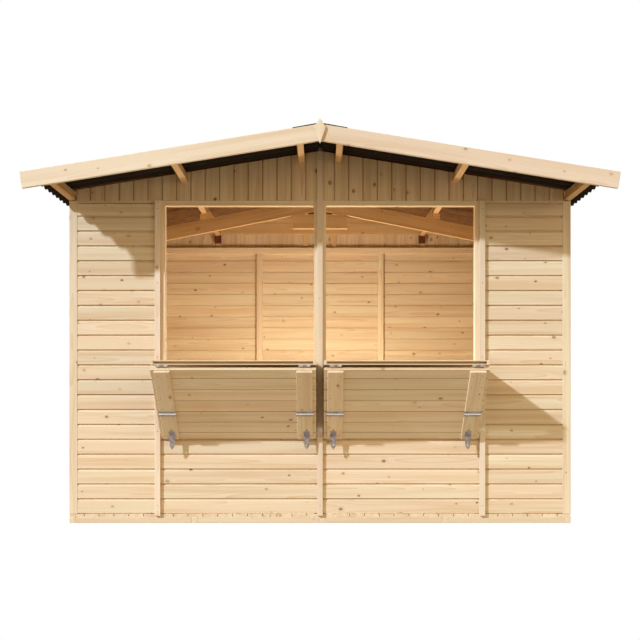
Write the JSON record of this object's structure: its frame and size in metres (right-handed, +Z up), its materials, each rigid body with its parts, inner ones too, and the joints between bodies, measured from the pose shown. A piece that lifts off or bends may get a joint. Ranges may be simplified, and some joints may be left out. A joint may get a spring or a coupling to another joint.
{
  "type": "wooden market stall",
  "caption": "Gabled wooden market stall with boarded walls, open serving front, folding counters on slanted braces and a dark corrugated roof.",
  "frame": {"origin": "on the ground at the middle of the stall", "axes": "+Z up, -Y towards the customer at the serving side, +X to the right of that customer"},
  "size_m": [3.3034, 2.934, 2.2811],
  "materials": {
    "wall_boards": "planed softwood boards, unpainted",
    "frame_timber": "planed softwood, unpainted",
    "floor_timber": "sawn softwood, unpainted",
    "roof_timber": "planed softwood, unpainted",
    "counter_boards": "planed softwood boards, unpainted",
    "trim_timber": "planed softwood, unpainted",
    "roof_sheet": "matt black corrugated bitumen sheet",
    "zinc_steel": "zinc plated"
  },
  "bodies": {
    "stall": {"back_barge_boards": "trim_timber", "back_gable": "wall_boards", "back_wall": "wall_boards", "back_wall_studs": "frame_timber", "cover_battens": "trim_timber", "door_ironwork": "zinc_steel", "finials": "trim_timber", "floor": "floor_timber", "floor_joists": "floor_timber", "floor_rims": "floor_timber", "front_barge_boards": "trim_timber", "front_gable": "wall_boards", "front_panel_left": "wall_boards", "front_panel_right": "wall_boards", "front_posts": "frame_timber", "front_skirts": "wall_boards", "gable_planks": "roof_timber", "gable_uprights": "roof_timber", "left_wall": "wall_boards", "opening_rails": "frame_timber", "purlin_blocks": "roof_timber", "purlins": "roof_timber", "rafter_packers": "roof_timber", "ridge_cap": "roof_sheet", "right_wall": "wall_boards", "roof_sheet_left": "roof_sheet", "roof_sheet_right": "roof_sheet", "side_door": "wall_boards", "side_wall_studs": "frame_timber", "sill_hinges": "zinc_steel", "truss_rafters": "roof_timber", "truss_tie": "roof_timber", "wall_rails": "frame_timber"},
    "left_counter": {"left_counter": "counter_boards", "left_counter_hinges": "zinc_steel"},
    "left_brace": {"left_brace": "counter_boards", "left_brace_battens": "counter_boards", "left_brace_ironwork": "zinc_steel"},
    "left_hasps": {"left_hasps": "zinc_steel"},
    "right_counter": {"right_counter": "counter_boards", "right_counter_hinges": "zinc_steel"},
    "right_brace": {"right_brace": "counter_boards", "right_brace_battens": "counter_boards", "right_brace_ironwork": "zinc_steel"},
    "right_hasps": {"right_hasps": "zinc_steel"}
  },
  "joints": [
    {"name": "left_counter_fold", "type": "hinge", "parent": "stall", "child": "left_counter", "pos_m": [-0.485, -0.991, 0.962], "axis": [-1, 0, 0], "range_deg": [0, 90]},
    {"name": "left_brace_fold", "type": "hinge", "parent": "left_counter", "child": "left_brace", "pos_m": [-0.485, -1.373, 0.926], "axis": [-1, 0, 0], "range_deg": [0, 133.7]},
    {"name": "left_hasp_swing", "type": "hinge", "parent": "left_brace", "child": "left_hasps", "pos_m": [-0.485, -1.03956, 0.52129], "axis": [-1, 0, 0], "range_deg": [0, 133.7]},
    {"name": "right_counter_fold", "type": "hinge", "parent": "stall", "child": "right_counter", "pos_m": [0.485, -0.991, 0.962], "axis": [-1, 0, 0], "range_deg": [0, 90]},
    {"name": "right_brace_fold", "type": "hinge", "parent": "right_counter", "child": "right_brace", "pos_m": [0.485, -1.373, 0.926], "axis": [-1, 0, 0], "range_deg": [0, 133.7]},
    {"name": "right_hasp_swing", "type": "hinge", "parent": "right_brace", "child": "right_hasps", "pos_m": [0.485, -1.03956, 0.52129], "axis": [-1, 0, 0], "range_deg": [0, 133.7]}
  ],
  "couplings": [
    {"joint": "left_brace_fold", "follows": "left_counter_fold", "ratio": 1.4849},
    {"joint": "left_hasp_swing", "follows": "left_counter_fold", "ratio": 1.4849},
    {"joint": "right_brace_fold", "follows": "right_counter_fold", "ratio": 1.4849},
    {"joint": "right_hasp_swing", "follows": "right_counter_fold", "ratio": 1.4849}
  ]
}
